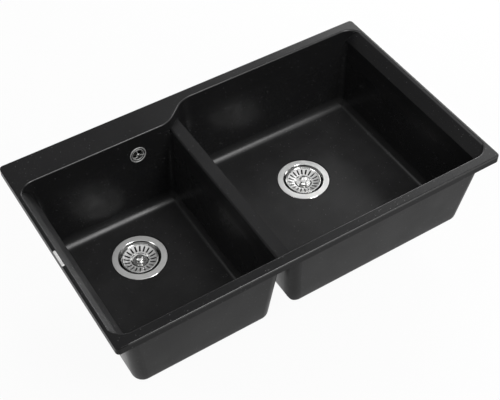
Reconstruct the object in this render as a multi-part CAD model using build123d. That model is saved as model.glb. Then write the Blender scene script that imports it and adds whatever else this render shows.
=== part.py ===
"""Double bowl kitchen sink: a composite basin with two basket strainer wastes and an overflow.

The worktop surface is the plane z = 0 and carries the underside of the rim. The deck lies above it,
the bowls and wastes hang below it. X runs along the long side, Y points to the tap ledge, Z is up.
"""
from build123d import *
from math import atan2, copysign, cos, degrees, radians, sin, tan
import os

# Deck and rim
SINK_LENGTH = 850.0
SINK_WIDTH = 500.0
RIM_HEIGHT = 17.0
RIM_CORNER_R = 8.0
RIM_TOP_EDGE_R = 2.5
OPENING_EDGE_R = 3.0

# Strips of deck round the opening, and the roundings of its outline
SIDE_STRIP = 7.0
FRONT_STRIP = 21.0
BACK_STRIP = 23.0
TAP_LEDGE = 69.0
OPENING_CORNER_R = 35.0
STEP_ANGLE = 40.0
STEP_R = 60.0
STEP_PAST_DIVIDER = 1.1

# Shoulders along the two ends
SHOULDER_WIDTH = 22.0
SHOULDER_MID_WIDTH = 12.0
SHOULDER_MID_DEPTH = 11.5
SHOULDER_FOOT_DEPTH = 26.0
SHOULDER_BLEND_R = 7.0
SHOULDER_MID_R = 20.0

# Bowls
BOWL_DEPTH = 200.0
SMALL_BOWL_LENGTH = 316.0
WALL = 8.0
FLOOR = 10.0
END_DRAFT = 5.3
FRONT_DRAFT = 7.2
BOWL_CORNER_R = 13.0
SIDE_COVE_R = 8.0
BACK_COVE_R = 18.0
SMALL_END_WALL = 7.0
LARGE_END_WALL = 11.0
SMALL_SHELL_DRAFTS = (6.0, 3.4)
LARGE_SHELL_DRAFTS = (6.2, 4.6)
SHELL_CORNER_R = 24.0
SHELL_FOOT_R = 20.0
SHELL_GAP_FOOT_R = 38.0
STEP_SHELL_R = 21.0
ROUNDING_CLEAR = 0.02

# Divider between the bowls
DIVIDER_WIDTH = 25.1
DIVIDER_DROP = 20.0
DIVIDER_THICKNESS = 11.0
DIVIDER_EDGE_R = 5.0

# Ledge behind the small bowl
LEDGE_POCKET_DEPTH = 7.0
LEDGE_LIP = 12.0
LEDGE_POCKET_ENDS = (2.0, 32.0)
LEDGE_POCKET_R = 8.0
TAP_HOLE_R = 17.5
TAP_HOLE_DEPTH = 6.0
TAP_HOLE_PITCH = 85.0
TAP_HOLE_INSET = 34.0

# Strainer wastes
DRAIN_FROM_BACK = 128.0
SMALL_DRAIN_OFF = 1.5
LARGE_DRAIN_OFF = 0.45
DRAIN_HOLE_R = 45.0
DRAIN_RECESS_R = 59.0
DRAIN_RECESS_DEPTH = 3.0
FLANGE_R = 57.5
FLANGE_THICKNESS = 1.5
FLANGE_GASKET = 1.2
WASTE_GASKET = 3.0
SHEET = 1.2
CUP_LIP_R = 43.6
CUP_NECK_R = 40.4
CUP_NECK_DEPTH = 6.0
CUP_FOOT_R = 35.0
CUP_DEPTH = 37.0
CUP_HOLES = 8
CUP_HOLE_R = 4.5
CUP_HOLE_PITCH_R = 17.0

# Basket
BASKET_R = 38.5
BASKET_TOP = 2.4
SLOTS = 20
SLOT_INNER_R = 21.0
SLOT_OUTER_R = 34.0
SLOT_WIDTH = 3.6
DISH_R = 18.75
DISH_DEPTH = 11.5
KNOB_R = 9.0
KNOB_NECK_R = 4.0
KNOB_RISE = 12.0
STEM_R = 3.0
CLIP_R = 9.5
CLIP_BORE_R = 7.2
SEAL_R = 27.0
SEAL_THICKNESS = 3.0

# Waste body
BODY_FLANGE_R = 54.0
BODY_FLANGE = 4.0
CHAMBER_R = 43.0
BODY_WALL = 3.0
CHAMBER_DEPTH = 52.0
TAIL_R = 23.9
TAIL_TOP = 70.0
TAIL_END = 94.0
HUB_R = 9.5
HUB_TOP = 40.0
HUB_FOOT = 60.0
HUB_RIBS = 4

# Clamp screw and nut
SCREW_R = 3.0
SCREW_HEAD_R = 6.0
SCREW_HEAD = 3.6
SCREW_END = 56.0
NUT_FLATS = 10.0
NUT_THICKNESS = 5.0
NUT_TOP = 48.0
THREAD_FIT = 0.05
FIT = 0.3

# Overflow
OVERFLOW_FROM_DIVIDER = 81.0
OVERFLOW_DEPTH = 46.3
OVERFLOW_HOLE_R = 14.0
ROSETTE_R = 18.0
ROSETTE_RISE = 3.5
ROSETTE_SPOKES = 3
ROSETTE_HUB_R = 4.4
OVERFLOW_SCREW_R = 2.0
OVERFLOW_SCREW_HEAD_R = 3.4
OVERFLOW_GASKET = 2.0
ELBOW_FLANGE_R = 22.0
ELBOW_FLANGE = 3.0
ELBOW_R = 16.0
ELBOW_WALL = 2.5
ELBOW_END = 42.0
ELBOW_DROP_AT = 26.0
ELBOW_DROP = 36.0
HOSE_R = 12.3
HOSE_WALL = 2.0
HOSE_BEND_R = 60.0
HOSE_COLLAR_R = 14.0
HOSE_COLLAR = 2.5
HOSE_SEAL = 2.0
SPIGOT_R = 15.2
SPIGOT_LENGTH = 70.0
SPIGOT_DEPTH = 34.0
HOSE_NUT_R = 17.6
HOSE_NUT_LENGTH = 19.0
HOSE_NUT_LIP = 2.4
HOSE_NUT_RIBS = 12

# Places that follow from the sizes, measured at the deck top
OPENING_HALF_X = SINK_LENGTH / 2 - SIDE_STRIP
FRONT_WALL_Y = FRONT_STRIP - SINK_WIDTH / 2
LARGE_BACK_Y = SINK_WIDTH / 2 - BACK_STRIP
SMALL_BACK_Y = SINK_WIDTH / 2 - TAP_LEDGE
END_WALL_X = OPENING_HALF_X - SHOULDER_WIDTH
SHOULDER_MID_X = OPENING_HALF_X - SHOULDER_MID_WIDTH
SMALL_INNER_X = SMALL_BOWL_LENGTH - END_WALL_X
LARGE_INNER_X = SMALL_INNER_X + DIVIDER_WIDTH
STEP_CENTRE_X = LARGE_INNER_X + STEP_PAST_DIVIDER
SMALL_DRAIN_X = (SMALL_INNER_X - END_WALL_X) / 2 + SMALL_DRAIN_OFF
LARGE_DRAIN_X = (LARGE_INNER_X + END_WALL_X) / 2 + LARGE_DRAIN_OFF
DRAIN_Y = SMALL_BACK_Y - DRAIN_FROM_BACK
OVERFLOW_X = SMALL_INNER_X - OVERFLOW_FROM_DIVIDER
LEDGE_POCKET_X = (-END_WALL_X - LEDGE_POCKET_ENDS[0], SMALL_INNER_X - LEDGE_POCKET_ENDS[1])
TAP_HOLE_X = (SMALL_DRAIN_X - TAP_HOLE_PITCH, SMALL_DRAIN_X)
TAP_HOLE_Y = SINK_WIDTH / 2 - TAP_HOLE_INSET
FLOOR_Z = RIM_HEIGHT - BOWL_DEPTH
UNDERSIDE_Z = FLOOR_Z - FLOOR
END_SLOPE = tan(radians(END_DRAFT))
FRONT_SLOPE = tan(radians(FRONT_DRAFT))

# End walls of each hollow and shell: x at the deck top, and the draft towards the bowl's middle
SMALL_HOLLOW = ((-END_WALL_X, END_DRAFT), (SMALL_INNER_X, -END_DRAFT))
LARGE_HOLLOW = ((LARGE_INNER_X, END_DRAFT), (END_WALL_X, -END_DRAFT))
SMALL_SHELL = (
    (-END_WALL_X - SMALL_END_WALL, SMALL_SHELL_DRAFTS[0]),
    (SMALL_INNER_X + WALL, -SMALL_SHELL_DRAFTS[1]),
)
LARGE_SHELL = (
    (LARGE_INNER_X - WALL, LARGE_SHELL_DRAFTS[0]),
    (END_WALL_X + LARGE_END_WALL, -LARGE_SHELL_DRAFTS[1]),
)


def level(depth):
    """Return the height of a point that lies a depth below the deck top."""
    return RIM_HEIGHT - depth


def rounded_plan(points, radii, depth):
    """Return a face with one radius per corner, a depth below the deck top."""
    z = level(depth)
    outline = FilletPolyline(*[(x, y, z) for x, y in points], radius=radii, close=True)
    return make_face(outline)


def step_corner(depth, grow):
    """Return the two corners and radii of the S-shaped step of the back edge."""
    inset = FRONT_SLOPE * depth - grow
    outer_r = STEP_R + inset
    inner_r = STEP_R - inset
    rise = LARGE_BACK_Y - SMALL_BACK_Y
    reach = 2 * STEP_R * tan(radians(STEP_ANGLE / 2)) + rise / tan(radians(STEP_ANGLE))
    outer_x = STEP_CENTRE_X - reach / 2
    inner_x = STEP_CENTRE_X + reach / 2
    half = tan(radians(STEP_ANGLE / 2))
    near = (outer_x + outer_r * half, SMALL_BACK_Y - inset)
    far = (inner_x - inner_r * half, LARGE_BACK_Y - inset)
    return near, outer_r, far, inner_r


def opening_plan(depth, grow):
    """Return the outline of the deck opening, drafted along the front and back walls."""
    inset = FRONT_SLOPE * depth - grow
    near, near_r, far, far_r = step_corner(depth, grow)
    side = OPENING_HALF_X + grow
    front = FRONT_WALL_Y + inset
    small_back = SMALL_BACK_Y - inset
    large_back = LARGE_BACK_Y - inset
    corner = OPENING_CORNER_R + grow
    points = [(-side, front), (side, front), (side, large_back), far, near, (-side, small_back)]
    return rounded_plan(points, [corner, corner, corner, far_r, near_r, corner], depth)


def wall_x(wall, depth):
    """Return the x of an end wall at a depth."""
    start, draft = wall
    return start + tan(radians(draft)) * depth


def small_bowl_plan(depth, walls, grow, corner):
    """Return the outline of the small bowl at a depth, grown outwards at front and back."""
    inset = FRONT_SLOPE * depth - grow
    left, right = [wall_x(wall, depth) for wall in walls]
    front = FRONT_WALL_Y + inset
    back = SMALL_BACK_Y - inset
    points = [(left, front), (right, front), (right, back), (left, back)]
    return rounded_plan(points, [corner] * 4, depth)


def large_bowl_plan(depth, walls, grow, corner):
    """Return the outline of the large bowl, its back corner cut by the step."""
    inset = FRONT_SLOPE * depth - grow
    near, near_r, far, far_r = step_corner(depth, grow)
    left, right = [wall_x(wall, depth) for wall in walls]
    front = FRONT_WALL_Y + inset
    back = LARGE_BACK_Y - inset
    cut = far[1] - (far[0] - left) * tan(radians(STEP_ANGLE))
    points = [(left, front), (right, front), (right, back), far, (left, cut)]
    return rounded_plan(points, [corner, corner, corner, far_r, min(corner, STEP_SHELL_R)], depth)


def drafted(plan, top, bottom, *args):
    """Return the solid between one outline at two depths."""
    return loft([plan(bottom, *args), plan(top, *args)], ruled=True)


def lengthwise(points, radii):
    """Return a closed (y, z) profile carried along the whole length."""
    outline = FilletPolyline(*[(-SINK_LENGTH / 2, y, z) for y, z in points], radius=radii, close=True)
    return extrude(make_face(outline), amount=SINK_LENGTH, dir=(1, 0, 0))


def crosswise(points, radii):
    """Return a closed (x, z) profile carried across the whole width."""
    outline = FilletPolyline(*[(x, -SINK_WIDTH / 2, z) for x, z in points], radius=radii, close=True)
    return extrude(make_face(outline), amount=SINK_WIDTH, dir=(0, 1, 0))


def cove_envelope(back):
    """Return the space just past the front and back walls of a bowl, with their wide floor coves."""
    inset = FRONT_SLOPE * BOWL_DEPTH - ROUNDING_CLEAR
    over = FRONT_SLOPE * RIM_HEIGHT + ROUNDING_CLEAR
    high = level(-RIM_HEIGHT)
    low = FLOOR_Z - ROUNDING_CLEAR
    points = [
        (FRONT_WALL_Y - over, high),
        (FRONT_WALL_Y + inset, low),
        (back - inset, low),
        (back + over, high),
    ]
    return lengthwise(points, [0, BACK_COVE_R, BACK_COVE_R, 0])


def floor_edges(solid):
    """Return the edges of the lowest face."""
    return solid.faces().sort_by(Axis.Z)[0].edges()


def shoulder_envelope():
    """Return the end walls with the sloping shoulders that lead up to the deck."""
    foot_x = END_WALL_X - END_SLOPE * SHOULDER_FOOT_DEPTH
    low_x = END_WALL_X - END_SLOPE * 2 * SHOULDER_FOOT_DEPTH - SHOULDER_BLEND_R
    high = level(-RIM_HEIGHT)
    low = level(2 * SHOULDER_FOOT_DEPTH)
    right = [
        (low_x, low),
        (foot_x, level(SHOULDER_FOOT_DEPTH)),
        (SHOULDER_MID_X, level(SHOULDER_MID_DEPTH)),
        (OPENING_HALF_X, level(0)),
        (OPENING_HALF_X, high),
    ]
    left = [(-x, z) for x, z in reversed(right)]
    radii = [0, SHOULDER_BLEND_R, SHOULDER_MID_R, 0, 0]
    return crosswise(right + left, radii + list(reversed(radii)))


def corner_wedges():
    """Return the space above two planes that carry the shoulder slope down into the corners."""
    foot_x = END_WALL_X - END_SLOPE * SHOULDER_FOOT_DEPTH
    slope = (SHOULDER_FOOT_DEPTH - SHOULDER_MID_DEPTH) / (SHOULDER_MID_X - foot_x)
    start = level(SHOULDER_FOOT_DEPTH + SHOULDER_BLEND_R / 2)
    reach = 2 * OPENING_CORNER_R
    points = [
        (foot_x - reach, start - slope * reach),
        (OPENING_HALF_X, start + slope * (OPENING_HALF_X - foot_x)),
        (OPENING_HALF_X, level(-RIM_HEIGHT)),
        (foot_x - reach, level(-RIM_HEIGHT)),
    ]
    right = crosswise(points, [0, 0, 0, 0])
    return right + mirror(right, about=Plane.YZ)


def deck_opening():
    """Return the space between the deck top and the divider, shoulders included."""
    well = drafted(opening_plan, -RIM_HEIGHT / 2, 2 * SHOULDER_FOOT_DEPTH, 0) & shoulder_envelope()
    drop = SHOULDER_FOOT_DEPTH * 2
    middle = Pos(0, 0, level(DIVIDER_DROP)) * Box(
        SINK_LENGTH, SINK_WIDTH, 2 * DIVIDER_DROP, align=(Align.CENTER, Align.CENTER, Align.MIN)
    )
    reach = END_WALL_X - BOWL_CORNER_R - 4 * SHOULDER_BLEND_R
    ends = Pos(0, 0, level(drop)) * (
        Box(SINK_LENGTH, SINK_WIDTH, drop, align=(Align.CENTER, Align.CENTER, Align.MIN))
        - Box(2 * reach, SINK_WIDTH, drop, align=(Align.CENTER, Align.CENTER, Align.MIN))
    )
    return (well & middle) + (well & ends & corner_wedges())


def end_envelope(walls):
    """Return the space just past the two end walls of a bowl, with their floor coves."""
    left, right = walls
    high = -RIM_HEIGHT
    low = FLOOR_Z - ROUNDING_CLEAR
    points = [
        (wall_x(left, high) - ROUNDING_CLEAR, level(high)),
        (wall_x(left, BOWL_DEPTH) - ROUNDING_CLEAR, low),
        (wall_x(right, BOWL_DEPTH) + ROUNDING_CLEAR, low),
        (wall_x(right, high) + ROUNDING_CLEAR, level(high)),
    ]
    return crosswise(points, [0, SIDE_COVE_R, SIDE_COVE_R, 0])


def bowl_space(plan, walls, back):
    """Return the hollow of one bowl with its floor coves."""
    hollow = drafted(plan, SHOULDER_FOOT_DEPTH / 2, BOWL_DEPTH, walls, 0, BOWL_CORNER_R)
    hollow &= cove_envelope(back)
    return hollow & end_envelope(walls)


def gap_envelope(wall, far_x):
    """Return the space up to just past a wall that faces the other bowl, with its wide round foot."""
    foot = BOWL_DEPTH + FLOOR
    high = -RIM_HEIGHT
    low = UNDERSIDE_Z - ROUNDING_CLEAR
    past = copysign(ROUNDING_CLEAR, -far_x)
    points = [
        (wall_x(wall, high) + past, level(high)),
        (wall_x(wall, foot) + past, low),
        (far_x, low),
        (far_x, level(high)),
    ]
    return crosswise(points, [0, SHELL_GAP_FOOT_R, 0, 0])


def bowl_shell(plan, walls, gap_wall, far_x):
    """Return the outside of one bowl, rounded along its foot."""
    shell = drafted(plan, RIM_HEIGHT, BOWL_DEPTH + FLOOR, walls, WALL, SHELL_CORNER_R)
    shell = fillet(floor_edges(shell), SHELL_FOOT_R)
    return shell & gap_envelope(gap_wall, far_x)


def collar():
    """Return the ring below the deck that carries both bowls and the divider."""
    foot = DIVIDER_DROP + DIVIDER_THICKNESS
    block = drafted(opening_plan, RIM_HEIGHT - 1, foot, WALL)
    foot_x = END_WALL_X + WALL - END_SLOPE * foot
    slope = (SHOULDER_FOOT_DEPTH - SHOULDER_MID_DEPTH) / (
        SHOULDER_MID_X - END_WALL_X + END_SLOPE * SHOULDER_FOOT_DEPTH
    )
    top_x = foot_x + (foot - RIM_HEIGHT) / slope
    points = [
        (foot_x, level(foot)),
        (top_x, 0),
        (top_x, level(0)),
        (-top_x, level(0)),
        (-top_x, 0),
        (-foot_x, level(foot)),
    ]
    return block & crosswise(points, [0] * 6)


def overflow_plane(out):
    """Return the plane of the back wall at the overflow, a distance out of the bowl."""
    wall_y = SMALL_BACK_Y - FRONT_SLOPE * OVERFLOW_DEPTH
    draft = radians(FRONT_DRAFT)
    normal = (0, cos(draft), -sin(draft))
    plane = Plane(origin=(OVERFLOW_X, wall_y, level(OVERFLOW_DEPTH)), x_dir=(1, 0, 0), z_dir=normal)
    return plane.offset(out)


def opening_edges(basin):
    """Return the edges where the deck turns down into the opening."""
    top = basin.edges().filter_by_position(Axis.Z, RIM_HEIGHT - 0.01, RIM_HEIGHT + 0.01)
    return [edge for edge in top if abs(edge.center().X) < OPENING_HALF_X + 1
            and FRONT_WALL_Y - 1 < edge.center().Y < LARGE_BACK_Y + 1]


def divider_rounding():
    """Return the strip that rounds the divider's edge over the small bowl."""
    wall = SMALL_HOLLOW[1]
    high = DIVIDER_DROP - 1
    low = DIVIDER_DROP + DIVIDER_EDGE_R + 1
    edge_x = wall_x(wall, DIVIDER_DROP)
    points = [
        (wall_x(wall, low), level(low)),
        (edge_x, level(DIVIDER_DROP)),
        (edge_x + DIVIDER_EDGE_R + 1, level(DIVIDER_DROP)),
        (edge_x + DIVIDER_EDGE_R + 1, level(high)),
        (edge_x - 3, level(high)),
        (wall_x(wall, low) - 3, level(low)),
    ]
    strip = crosswise(points, [0, DIVIDER_EDGE_R, 0, 0, 0, 0])
    return strip & drafted(opening_plan, 0, SHOULDER_FOOT_DEPTH + DIVIDER_DROP, 0)


def sink_basin():
    """Return the basin: deck, rim, two bowls and divider in one moulding."""
    deck = extrude(RectangleRounded(SINK_LENGTH, SINK_WIDTH, RIM_CORNER_R), amount=RIM_HEIGHT)
    deck = fillet(deck.faces().sort_by(Axis.Z)[-1].edges(), RIM_TOP_EDGE_R)
    small = bowl_shell(small_bowl_plan, SMALL_SHELL, SMALL_SHELL[1], -SINK_LENGTH / 2)
    large = bowl_shell(large_bowl_plan, LARGE_SHELL, LARGE_SHELL[0], SINK_LENGTH / 2)
    basin = deck + collar() + small + large
    basin -= deck_opening()
    basin -= bowl_space(small_bowl_plan, SMALL_HOLLOW, SMALL_BACK_Y)
    basin -= bowl_space(large_bowl_plan, LARGE_HOLLOW, LARGE_BACK_Y)
    basin -= divider_rounding()
    basin = fillet(opening_edges(basin), OPENING_EDGE_R)
    for x in (SMALL_DRAIN_X, LARGE_DRAIN_X):
        basin -= Pos(x, DRAIN_Y, FLOOR_Z) * Cylinder(DRAIN_HOLE_R, 4 * FLOOR)
        basin -= Pos(x, DRAIN_Y, FLOOR_Z) * Cylinder(DRAIN_RECESS_R, 2 * DRAIN_RECESS_DEPTH)
    basin -= overflow_plane(WALL / 2) * Cylinder(OVERFLOW_HOLE_R, 3 * WALL)
    return basin - ledge_pocket()


def ledge_pocket():
    """Return the recess below the tap ledge with its blind tap holes."""
    left, right = LEDGE_POCKET_X
    near = SMALL_BACK_Y + 1.5 * WALL
    far = SINK_WIDTH / 2 - LEDGE_LIP
    plan = RectangleRounded(right - left, far - near, LEDGE_POCKET_R)
    pocket = Pos((left + right) / 2, (near + far) / 2) * extrude(plan, amount=LEDGE_POCKET_DEPTH)
    for x in TAP_HOLE_X:
        hole = Cylinder(TAP_HOLE_R, TAP_HOLE_DEPTH, align=(Align.CENTER, Align.CENTER, Align.MIN))
        pocket += Pos(x, TAP_HOLE_Y, LEDGE_POCKET_DEPTH) * hole
    return pocket


def turned(points):
    """Return the solid turned around the Z axis from (radius, height) points in either order."""
    pairs = zip(points, points[1:] + points[:1])
    area = sum(near[0] * far[1] - far[0] * near[1] for near, far in pairs)
    ordered = points if area > 0 else points[::-1]
    outline = Polyline(*[(r, 0, z) for r, z in ordered], close=True)
    return revolve(make_face(outline), Axis.Z)


def ring(inner, outer, low, high):
    """Return a plain ring between two radii and two heights."""
    return turned([(inner, low), (outer, low), (outer, high), (inner, high)])


def strainer_cup():
    """Return the pressed strainer cup with its flange; the bowl floor is z = 0."""
    top = -DRAIN_RECESS_DEPTH + FLANGE_GASKET + FLANGE_THICKNESS
    under = top - FLANGE_THICKNESS
    foot = -CUP_DEPTH
    inside = [
        (SCREW_R + FIT, foot),
        (CUP_FOOT_R - 3, foot),
        (CUP_FOOT_R - 0.9, foot + 0.9),
        (CUP_FOOT_R, foot + 3),
        (CUP_NECK_R - 0.6, -CUP_NECK_DEPTH - 3),
        (CUP_NECK_R, -CUP_NECK_DEPTH),
        (CUP_LIP_R - 0.6, top - 1.6),
        (CUP_LIP_R, top - 0.5),
        (CUP_LIP_R + 0.8, top),
    ]
    outside = [
        (FLANGE_R - 2.2, top),
        (FLANGE_R - 0.8, top - 0.3),
        (FLANGE_R, top - 1.0),
        (FLANGE_R, under),
        (CUP_LIP_R + 0.9, under),
        (CUP_LIP_R + SHEET - 0.6, under - 1.0),
        (CUP_NECK_R + SHEET, -CUP_NECK_DEPTH - 0.4),
        (CUP_NECK_R + SHEET - 0.6, -CUP_NECK_DEPTH - 3.4),
        (CUP_FOOT_R + SHEET, foot + 2.6),
        (CUP_FOOT_R + 0.1, foot),
        (CUP_FOOT_R - 2.6, foot - SHEET),
        (SCREW_R + FIT, foot - SHEET),
    ]
    cup = turned(inside + outside)
    hole = Pos(CUP_HOLE_PITCH_R, 0, foot) * Cylinder(CUP_HOLE_R, 4 * SHEET)
    for index in range(CUP_HOLES):
        cup -= Rot(0, 0, index * 360 / CUP_HOLES) * hole
    return cup


def flange_gasket():
    """Return the thin gasket below the strainer flange."""
    low = -DRAIN_RECESS_DEPTH
    return ring(DRAIN_HOLE_R + 1, FLANGE_R - 0.5, low, low + FLANGE_GASKET)


def waste_gasket():
    """Return the gasket between the bowl's underside and the waste body."""
    return ring(DRAIN_HOLE_R + 0.5, BODY_FLANGE_R - 0.5, -FLOOR - WASTE_GASKET, -FLOOR)


def waste_body():
    """Return the waste body: flange, chamber, hub on ribs and threaded tail."""
    top = -FLOOR - WASTE_GASKET
    outer = CHAMBER_R + BODY_WALL
    bore = TAIL_R - BODY_WALL
    body = turned([
        (CHAMBER_R, top),
        (BODY_FLANGE_R, top),
        (BODY_FLANGE_R, top - BODY_FLANGE),
        (outer + 1, top - BODY_FLANGE),
        (outer, top - BODY_FLANGE - 1),
        (outer, -CHAMBER_DEPTH),
        (outer - 4, -CHAMBER_DEPTH - 6),
        (TAIL_R + 1.5, -TAIL_TOP + 2),
        (TAIL_R, -TAIL_TOP),
        (TAIL_R, -TAIL_END),
        (bore, -TAIL_END),
        (bore, -TAIL_TOP + 1),
        (CHAMBER_R - 4, -CHAMBER_DEPTH - 3),
        (CHAMBER_R, -CHAMBER_DEPTH + 2),
    ])
    hub = Pos(0, 0, -HUB_FOOT) * Cylinder(
        HUB_R, HUB_FOOT - HUB_TOP, align=(Align.CENTER, Align.CENTER, Align.MIN)
    )
    rib = Pos(0, 0, -HUB_FOOT) * Box(
        CHAMBER_R - 1.5, BODY_WALL, 10, align=(Align.MIN, Align.CENTER, Align.MIN)
    )
    for index in range(HUB_RIBS):
        hub += Rot(0, 0, (index + 0.5) * 360 / HUB_RIBS) * rib
    hub &= turned([
        (0, 0),
        (CHAMBER_R + 1, 0),
        (CHAMBER_R + 1, -CHAMBER_DEPTH + 2),
        (CHAMBER_R - 3, -CHAMBER_DEPTH - 3),
        (bore + 1, -TAIL_TOP + 1),
        (bore, -TAIL_END),
        (0, -TAIL_END),
    ])
    body += hub
    body -= Pos(0, 0, -HUB_TOP) * Cylinder(SCREW_R + FIT, 60)
    pocket = extrude(RegularPolygon(NUT_FLATS / 2 + THREAD_FIT, 6, major_radius=False), amount=HUB_FOOT)
    return body - Pos(0, 0, -HUB_FOOT - NUT_TOP) * pocket


def inlet_turn():
    """Return the compass angle from the small drain to the overflow drop."""
    drop = overflow_plane(ELBOW_DROP_AT).origin
    return degrees(atan2(drop.Y - DRAIN_Y, drop.X - SMALL_DRAIN_X))


def spigot(length):
    """Return a hollow threaded spigot along +Z that starts at the origin."""
    outside = HOSE_R + 0.7
    bore = HOSE_R - HOSE_WALL
    collar_at = length - HOSE_NUT_LENGTH + HOSE_NUT_LIP
    return turned([
        (bore, 0),
        (outside, 0),
        (outside, collar_at),
        (SPIGOT_R, collar_at + 1.5),
        (SPIGOT_R, length - 1),
        (SPIGOT_R - 1, length),
        (bore, length),
    ])


def waste_body_with_inlet():
    """Return the small bowl's waste body with the side inlet for the overflow hose."""
    start = CHAMBER_R - 1
    turn = Rot(0, 0, inlet_turn()) * Pos(start, 0, -SPIGOT_DEPTH) * Rot(0, 90, 0)
    inlet = turn * spigot(SPIGOT_LENGTH - start)
    core = Cylinder(CHAMBER_R, 4 * SPIGOT_DEPTH)
    bore = turn * Pos(0, 0, -BODY_WALL) * Cylinder(
        HOSE_R - HOSE_WALL, 4 * BODY_WALL, align=(Align.CENTER, Align.CENTER, Align.MIN)
    )
    return waste_body() + (inlet - core) - bore


def clamp_screw():
    """Return the clamp screw with its slotted cheese head."""
    head_low = -CUP_DEPTH
    screw = turned([
        (0, -SCREW_END),
        (SCREW_R - 0.6, -SCREW_END),
        (SCREW_R, -SCREW_END + 0.8),
        (SCREW_R, head_low),
        (SCREW_HEAD_R, head_low),
        (SCREW_HEAD_R, head_low + SCREW_HEAD - 0.6),
        (SCREW_HEAD_R - 0.6, head_low + SCREW_HEAD),
        (0, head_low + SCREW_HEAD),
    ])
    return screw - Pos(0, 0, head_low + SCREW_HEAD) * Box(3 * SCREW_HEAD_R, 1.4, 2.4)


def clamp_nut():
    """Return the hexagonal nut in the hub of the waste body."""
    nut = extrude(RegularPolygon(NUT_FLATS / 2, 6, major_radius=False), amount=NUT_THICKNESS)
    nut -= Cylinder(SCREW_R + THREAD_FIT, 4 * NUT_THICKNESS)
    return Pos(0, 0, -NUT_TOP - NUT_THICKNESS) * nut


def basket():
    """Return the pressed basket: rolled rim, slotted face and polished dish."""
    top = -BASKET_TOP
    dish = -DISH_DEPTH
    plate = turned([
        (STEM_R + THREAD_FIT, dish),
        (DISH_R - 3.5, dish),
        (DISH_R - 1.2, dish + 0.8),
        (DISH_R, dish + 2.4),
        (DISH_R + 1.0, dish + 2.8),
        (SLOT_INNER_R + 4, dish + 3.4),
        (SLOT_OUTER_R - 4, dish + 5.0),
        (SLOT_OUTER_R, dish + 6.6),
        (BASKET_R - 3.0, dish + 7.2),
        (BASKET_R - 2.6, top - 0.6),
        (BASKET_R - 1.9, top),
        (BASKET_R - 0.7, top),
        (BASKET_R, top - 0.7),
        (BASKET_R, top - 4.5),
        (BASKET_R - SHEET, top - 4.5),
        (BASKET_R - SHEET - 0.4, dish + 6.0),
        (SLOT_OUTER_R, dish + 5.4),
        (SLOT_OUTER_R - 4, dish + 3.8),
        (SLOT_INNER_R + 4, dish + 2.2),
        (DISH_R + 1.0, dish + 1.4),
        (DISH_R, dish + 0.8),
        (DISH_R - 2.6, dish - SHEET),
        (STEM_R + THREAD_FIT, dish - SHEET),
    ])
    length = SLOT_OUTER_R - SLOT_INNER_R
    slot = extrude(SlotOverall(length, SLOT_WIDTH), amount=DISH_DEPTH)
    slot = Pos((SLOT_INNER_R + SLOT_OUTER_R) / 2, 0, dish - SHEET) * slot
    for index in range(SLOTS):
        plate -= Rot(0, 0, (index + 0.5) * 360 / SLOTS) * slot
    return plate


def basket_knob():
    """Return the knob that stands in the dish of the basket."""
    dish = -DISH_DEPTH
    top = dish + KNOB_RISE
    return turned([
        (STEM_R + THREAD_FIT, dish),
        (KNOB_NECK_R + 2.5, dish),
        (KNOB_NECK_R + 1.6, dish + 0.8),
        (KNOB_NECK_R, dish + 2.2),
        (KNOB_NECK_R, top - 6.0),
        (KNOB_R - 2.6, top - 4.8),
        (KNOB_R - 0.6, top - 3.6),
        (KNOB_R, top - 2.4),
        (KNOB_R - 0.5, top - 1.2),
        (KNOB_R - 2.0, top - 0.4),
        (KNOB_R - 4.5, top),
        (0, top),
        (0, top - 3),
        (STEM_R + THREAD_FIT, top - 3),
    ])


def basket_stem():
    """Return the stem with its carrier plate and the clip over the clamp screw."""
    dish = -DISH_DEPTH - SHEET
    plate = -CUP_DEPTH + SEAL_THICKNESS
    cap = plate + 8
    return turned([
        (0, dish + SHEET + KNOB_RISE - 3.2),
        (STEM_R, dish + SHEET + KNOB_RISE - 3.2),
        (STEM_R, dish),
        (STEM_R + 2.5, dish),
        (STEM_R + 2.5, cap),
        (CLIP_R, cap - 1.5),
        (CLIP_R, plate + 1.5),
        (SEAL_R - 5, plate + 1.0),
        (SEAL_R - 5, plate),
        (CLIP_R, plate),
        (CLIP_R, plate - SEAL_THICKNESS + 0.6),
        (CLIP_BORE_R, plate - SEAL_THICKNESS + 0.6),
        (CLIP_BORE_R, cap - 2.5),
        (0, cap - 2.5),
    ])


def basket_seal():
    """Return the rubber ring that closes the holes of the cup."""
    low = -CUP_DEPTH
    return turned([
        (CLIP_R + FIT, low),
        (SEAL_R - 0.8, low),
        (SEAL_R, low + 0.8),
        (SEAL_R, low + SEAL_THICKNESS - 0.8),
        (SEAL_R - 0.8, low + SEAL_THICKNESS),
        (CLIP_R + FIT, low + SEAL_THICKNESS),
    ])


def overflow_rosette():
    """Return the rosette: domed ring, three spokes, hub and the collar in the wall hole."""
    rise = ROSETTE_RISE
    bore = OVERFLOW_HOLE_R - 2.4
    shell = turned([
        (bore, WALL / 2),
        (bore, -rise + 1.2),
        (bore + 0.8, -rise + 0.2),
        (bore + 1.8, -rise),
        (bore + 2.8, -rise + 0.7),
        (ROSETTE_R - 2.2, -rise + 0.5),
        (ROSETTE_R - 0.7, -rise + 1.4),
        (ROSETTE_R, -0.8),
        (ROSETTE_R, 0),
        (OVERFLOW_HOLE_R - FIT, 0),
        (OVERFLOW_HOLE_R - FIT, WALL / 2),
    ])
    hub = ring(OVERFLOW_SCREW_R + FIT, ROSETTE_HUB_R, -rise + 1.2, 1)
    spoke = Pos(ROSETTE_HUB_R - 0.8, 0, -rise + 1.4) * Box(
        bore - ROSETTE_HUB_R + 1.6, 2.6, 2.2, align=(Align.MIN, Align.CENTER, Align.MIN)
    )
    for index in range(ROSETTE_SPOKES):
        hub += Rot(0, 0, -90 + index * 360 / ROSETTE_SPOKES) * spoke
    return overflow_plane(0) * (shell + hub)


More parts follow.
